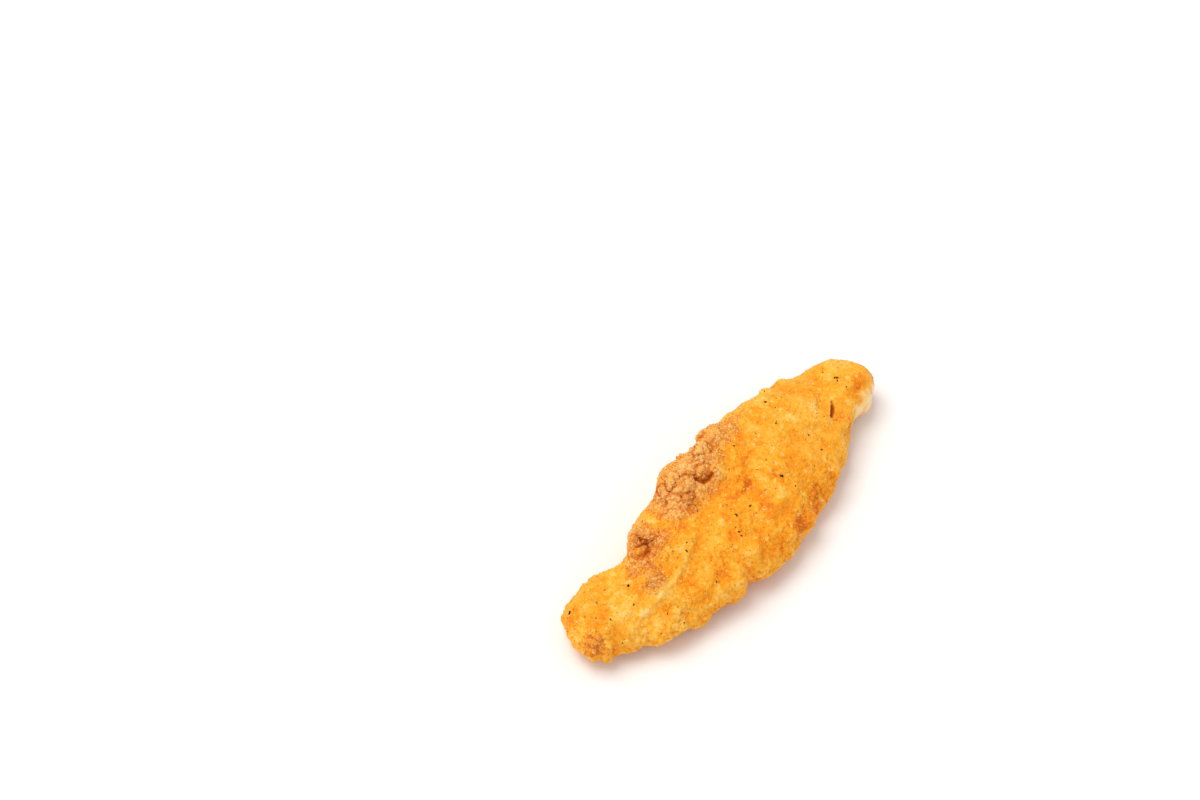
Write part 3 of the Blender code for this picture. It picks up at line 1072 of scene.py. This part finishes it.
@dataclass
class Bits:
    """Small bits of one kind, scattered over the crust as one joined mesh."""

    kind: BitKind
    finish: BitFinish
    likely: Callable[[Ground], np.ndarray]
    count: int
    least: float
    most: float
    seed: int
    flatness: float = 1.0
    roughness: float = 0.25
    sink: float = 0.3
    fineness: int = 1
    named: tuple[tuple[float, float, float], ...] = ()
    size_power: float = 2.0
    lowest_seat: float = 0.8 * MM
    floor_gap: float = 0.05 * MM
    ripple_turns: float = 2.2
    ripple_gain: float = 1.7
    stretch: tuple[float, float] = (0.7, 1.3)
    own_tone: float = 0.65
    drift_tone: float = 0.45
    drift_size: float = 2.2 * MM

    def ball(self) -> tuple[np.ndarray, np.ndarray]:
        """Makes a round ball of triangles.

        Returns:
            Its points and its faces.
        """
        bm = bmesh.new()
        bmesh.ops.create_icosphere(bm, subdivisions=self.fineness, radius=1.0)
        points = np.array([vert.co[:] for vert in bm.verts])
        faces = np.array([[vert.index for vert in face.verts] for face in bm.faces])
        bm.free()
        return points, faces

    def named_seats(self, ground: Ground, half_length: float) -> list[int]:
        """The crust's points that are nearest to the named places, seen from above.

        Args:
            ground: the crust.
            half_length: half the tender's length in metres.

        Returns:
            One point's number for each named place.
        """
        plan = plan_of(ground.points, half_length)
        plan[ground.normals[:, 2] < 0.0] = np.inf
        places = (np.array(named[:2]) for named in self.named)
        return [int(np.linalg.norm(plan - place, axis=1).argmin()) for place in places]

    def build(self, ground: Ground, half_length: float, top: float) -> None:
        """Makes all bits of this kind.

        Args:
            ground: the crust that they sit on.
            half_length: half the tender's length in metres.
            top: the height that none passes.
        """
        draw = np.random.default_rng(self.seed)
        seated = ground.points[:, 2] > self.lowest_seat
        weight = self.likely(ground) * (1.0 - ground.clear) * seated
        seats = draw.choice(len(weight), self.count, replace=False, p=weight / weight.sum())
        radii = self.least + (self.most - self.least) * draw.random(self.count) ** self.size_power
        seats = np.append(seats, self.named_seats(ground, half_length)).astype(int)
        radii = np.append(radii, [radius * MM for _, _, radius in self.named])
        tones = ground.tone[seats]
        piece = self.joined(ground.points[seats], ground.normals[seats], radii, tones, draw, top)
        dress(piece, self.finish.material())

    def joined(
        self,
        places: np.ndarray,
        out: np.ndarray,
        radii: np.ndarray,
        tones: np.ndarray,
        draw: np.random.Generator,
        top: float,
    ) -> bpy.types.Object:
        """Shapes a ball for each place and joins them.

        Args:
            places: where the bits are.
            out: which way the crust faces there.
            radii: how large they are.
            tones: how much paler than others the crust is there, painted light and shade included.
            draw: the seeded source of chance.
            top: the height that none passes.

        Returns:
            The new object.
        """
        points, faces = self.ball()
        count = len(places)
        axis = out / np.linalg.norm(out, axis=1)[:, None]
        side = np.cross(axis, draw.normal(size=(count, 3)))
        side /= np.linalg.norm(side, axis=1)[:, None]
        other = np.cross(axis, side)
        wave = draw.normal(size=(count, 3, 3)) * self.ripple_turns
        phase = draw.uniform(0.0, 2.0 * math.pi, (count, 3))
        ripple = np.sin(np.einsum("nkc,pc->npk", wave, points) + phase[:, None, :]).mean(axis=2)
        shape = points[None] * (1.0 + self.roughness * self.ripple_gain * ripple)[..., None]
        stretch = draw.uniform(*self.stretch, (count, 1, 3))
        shape = shape * stretch * radii[:, None, None]
        shape[..., 2] *= self.flatness
        turned = (
            shape[..., 0:1] * side[:, None]
            + shape[..., 1:2] * other[:, None]
            + shape[..., 2:3] * axis[:, None]
        )
        centres = places - axis * (radii * self.flatness * self.sink)[:, None]
        verts = (turned + centres[:, None]).reshape(-1, 3)
        verts[:, 2] = kept_below(np.maximum(verts[:, 2], self.floor_gap), top)
        corners = (faces[None] + (np.arange(count) * len(points))[:, None, None]).reshape(-1, 3)
        mesh = bpy.data.meshes.new(self.kind.value)
        mesh.from_pydata(verts.tolist(), [], corners.tolist())
        drift = 0.5 + 0.7 * cloud_at(places, self.drift_size, 6.6)
        tones = tones + self.own_tone * draw.random(count) + self.drift_tone * drift
        put_values(mesh, "tone", np.repeat(tones, len(points)))
        return added(self.kind.value, mesh)


@dataclass
class Studio:
    """The white surface, the soft lights and the camera."""

    azimuth: float = -51.2
    elevation: float = 55.0
    distance: float = 0.79
    lens: float = 85.0
    sensor: float = 36.0
    picture: tuple[float, float] = (1200.0, 800.0)
    origin_pixel: tuple[float, float] = (742.0, 518.0)
    floor_size: float = 5.0
    world_strength: float = 0.74
    key_power: float = 22.5
    key_size: float = 1.3
    key_distance: float = 2.0
    key_aside: float = -0.36
    key_away: float = 0.04
    key_rise: float = 0.93
    key_tint: Colour = (1.0, 0.985, 0.96)

    def axes(self) -> tuple[Vector, Vector, Vector]:
        """Works out the camera's directions for a line of sight to the origin.

        Returns:
            The camera's right, up and back.
        """
        turn, rise = math.radians(self.azimuth), math.radians(self.elevation)
        back = Vector(
            (math.sin(turn) * math.cos(rise), -math.cos(turn) * math.cos(rise), math.sin(rise))
        )
        right = Vector((0.0, 0.0, 1.0)).cross(back).normalized()
        return right, back.cross(right), back

    def camera(self) -> None:
        """Places the camera where the origin falls on its pixel of the picture."""
        right, up, back = self.axes()
        focal = self.lens / self.sensor * self.picture[0]
        aside = (self.origin_pixel[0] - self.picture[0] / 2) / focal * self.distance
        below = (self.origin_pixel[1] - self.picture[1] / 2) / focal * self.distance
        data = bpy.data.cameras.new("camera")
        data.lens, data.sensor_width = self.lens, self.sensor
        data.clip_start, data.clip_end = 0.01, 20.0
        camera = added("camera", data)
        aimed(camera, back * self.distance, up * below - right * aside)
        bpy.context.scene.camera = camera

    def floor(self, finish: FloorFinish) -> None:
        """Lays the white surface at z = 0.

        Args:
            finish: what it is dressed with.
        """
        half = self.floor_size / 2
        corners = [(-half, -half, 0.0), (half, -half, 0.0), (half, half, 0.0), (-half, half, 0.0)]
        mesh = bpy.data.meshes.new("floor")
        mesh.from_pydata(corners, [], [(0, 1, 2, 3)])
        mesh.materials.append(finish.material())
        added("floor", mesh)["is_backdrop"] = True

    def key(self) -> None:
        """Hangs the soft square key light up on the left, facing the tender."""
        right, _, back = self.axes()
        away = Vector((-back.x, -back.y, 0.0)).normalized()
        rise = Vector((0.0, 0.0, self.key_rise))
        toward = (self.key_aside * right + self.key_away * away + rise).normalized()
        data = bpy.data.lights.new("key", "AREA")
        data.energy, data.size, data.color = self.key_power, self.key_size, self.key_tint
        aimed(added("key", data), toward * self.key_distance, Vector())

    def surroundings(self) -> None:
        """Sets the plain white surroundings."""
        world = bpy.data.worlds.new("white_surroundings")
        world.use_nodes = True
        sky = world.node_tree.nodes["Background"]
        sky.inputs["Color"].default_value = (1.0, 1.0, 1.0, 1.0)
        sky.inputs["Strength"].default_value = self.world_strength
        bpy.context.scene.world = world

    def build(self) -> None:
        """Makes the whole studio."""
        self.camera()
        self.floor(FloorFinish())
        self.surroundings()
        self.key()
        bpy.context.scene.view_settings.view_transform = "Standard"


def brown_places(ground: Ground) -> np.ndarray:
    """Finds where brown crumbs lie: in clumps in the crags, and a lone one here and there.

    Args:
        ground: the crust.

    Returns:
        How likely a crumb is at each point, by no fixed measure.
    """
    facing = smooth_step(ground.normals[:, 2], -0.3, 0.4)
    clumps = cloud_at(ground.points, 2.4 * MM, 3.4) + 0.7 * cloud_at(ground.points, 1.2 * MM, 9.1)
    return (LONE_CRUMBS + ground.browned**2) * (0.15 + smooth_step(clumps, -0.5, 0.6)) * facing


def golden_places(ground: Ground) -> np.ndarray:
    """Golden grains lie all over in thicker and thinner drifts, thinner underneath."""
    drifts = smooth_step(cloud_at(ground.points, 7.0 * MM, 8.4), -0.4, 0.4)
    return (0.15 + smooth_step(ground.normals[:, 2], -0.4, 0.3)) * (0.25 + drifts)


def upper_places(ground: Ground) -> np.ndarray:
    """Flecks and flakes lie mostly on the upper face and the sides."""
    return 0.1 + smooth_step(ground.normals[:, 2], -0.2, 0.5)


def all_bits() -> list[Bits]:
    """Lists the kinds of bits that lie on the crust.

    Returns:
        One entry for each kind, in the order in which they are made.
    """
    brown = BitFinish("toasted_crumb", (1.0, 0.58, 0.20), (0.72, 0.20, 0.02), glow_through=0.2)
    golden = BitFinish("golden_grain", (1.0, 0.56, 0.10), (0.95, 0.37, 0.018), glow_through=0.2)
    orange = BitFinish("orange_nugget", (0.92, 0.36, 0.06), (0.40, 0.085, 0.01), glow_through=0.2)
    cream = BitFinish("cream_fleck", (1.0, 0.66, 0.24), (1.0, 0.54, 0.13))
    pepper = BitFinish("ground_pepper", (0.13, 0.045, 0.01), (0.03, 0.012, 0.004), 0.75)
    peppered = (
        (20.8, 1.3, 0.5), (37.3, -4.5, 0.36), (32.0, -5.5, 0.26), (10.7, 4.0, 0.34),
        (17.0, -3.6, 0.26), (22.4, -11.3, 0.3), (24.2, -15.5, 0.28), (4.7, 8.2, 0.36),
        (88.6, 12.9, 0.48), (85.6, 6.3, 0.34), (90.7, -6.4, 0.45), (73.9, -6.2, 0.34),
        (75.2, -10.3, 0.28), (98.6, -0.1, 0.26), (71.0, 9.2, 0.34), (55.6, -5.6, 0.45),
        (52.3, -10.6, 0.28), (38.3, -14.3, 0.3), (48.9, 2.7, 0.28), (60.8, -6.5, 0.3),
        (62.2, -4.6, 0.26), (112.3, 6.7, 0.46), (111.9, 6.3, 0.36), (112.7, 6.4, 0.36),
        (112.1, 7.1, 0.32),
    )
    return [
        Bits(BitKind.BROWN_CRUMB, brown, brown_places, 9500, 0.11 * MM, 0.34 * MM, seed=11),
        Bits(
            BitKind.GOLDEN_GRAIN, golden, golden_places, 9000, 0.13 * MM, 0.36 * MM,
            seed=12, flatness=0.85, sink=0.55,
        ),
        Bits(
            BitKind.ORANGE_NUGGET, orange, brown_places, 230, 0.2 * MM, 0.5 * MM,
            seed=15, roughness=0.5, sink=0.5, fineness=3,
        ),
        Bits(
            BitKind.CREAM_FLECK, cream, upper_places, 350, 0.18 * MM, 0.42 * MM,
            seed=13, flatness=0.5, sink=0.5,
        ),
        Bits(
            BitKind.PEPPER_FLAKE, pepper, upper_places, 120, 0.10 * MM, 0.26 * MM,
            seed=14, flatness=0.5, roughness=0.4, fineness=2, named=peppered,
        ),
    ]


def main() -> None:
    """Builds every piece in order."""
    logging.basicConfig(level=logging.INFO, format="%(message)s")
    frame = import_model()
    solid_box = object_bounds()
    half_length = (solid_box[1].x - solid_box[0].x) / 2
    top = solid_box[1].z + STANDS_PROUD
    Studio().build()
    ground = CrustSkin(half_length, top).build(frame["nodes"][CAD_NODE], CrustFinish())
    for bits in all_bits():
        bits.build(ground, half_length, top)


if __name__ == "__main__":
    main()
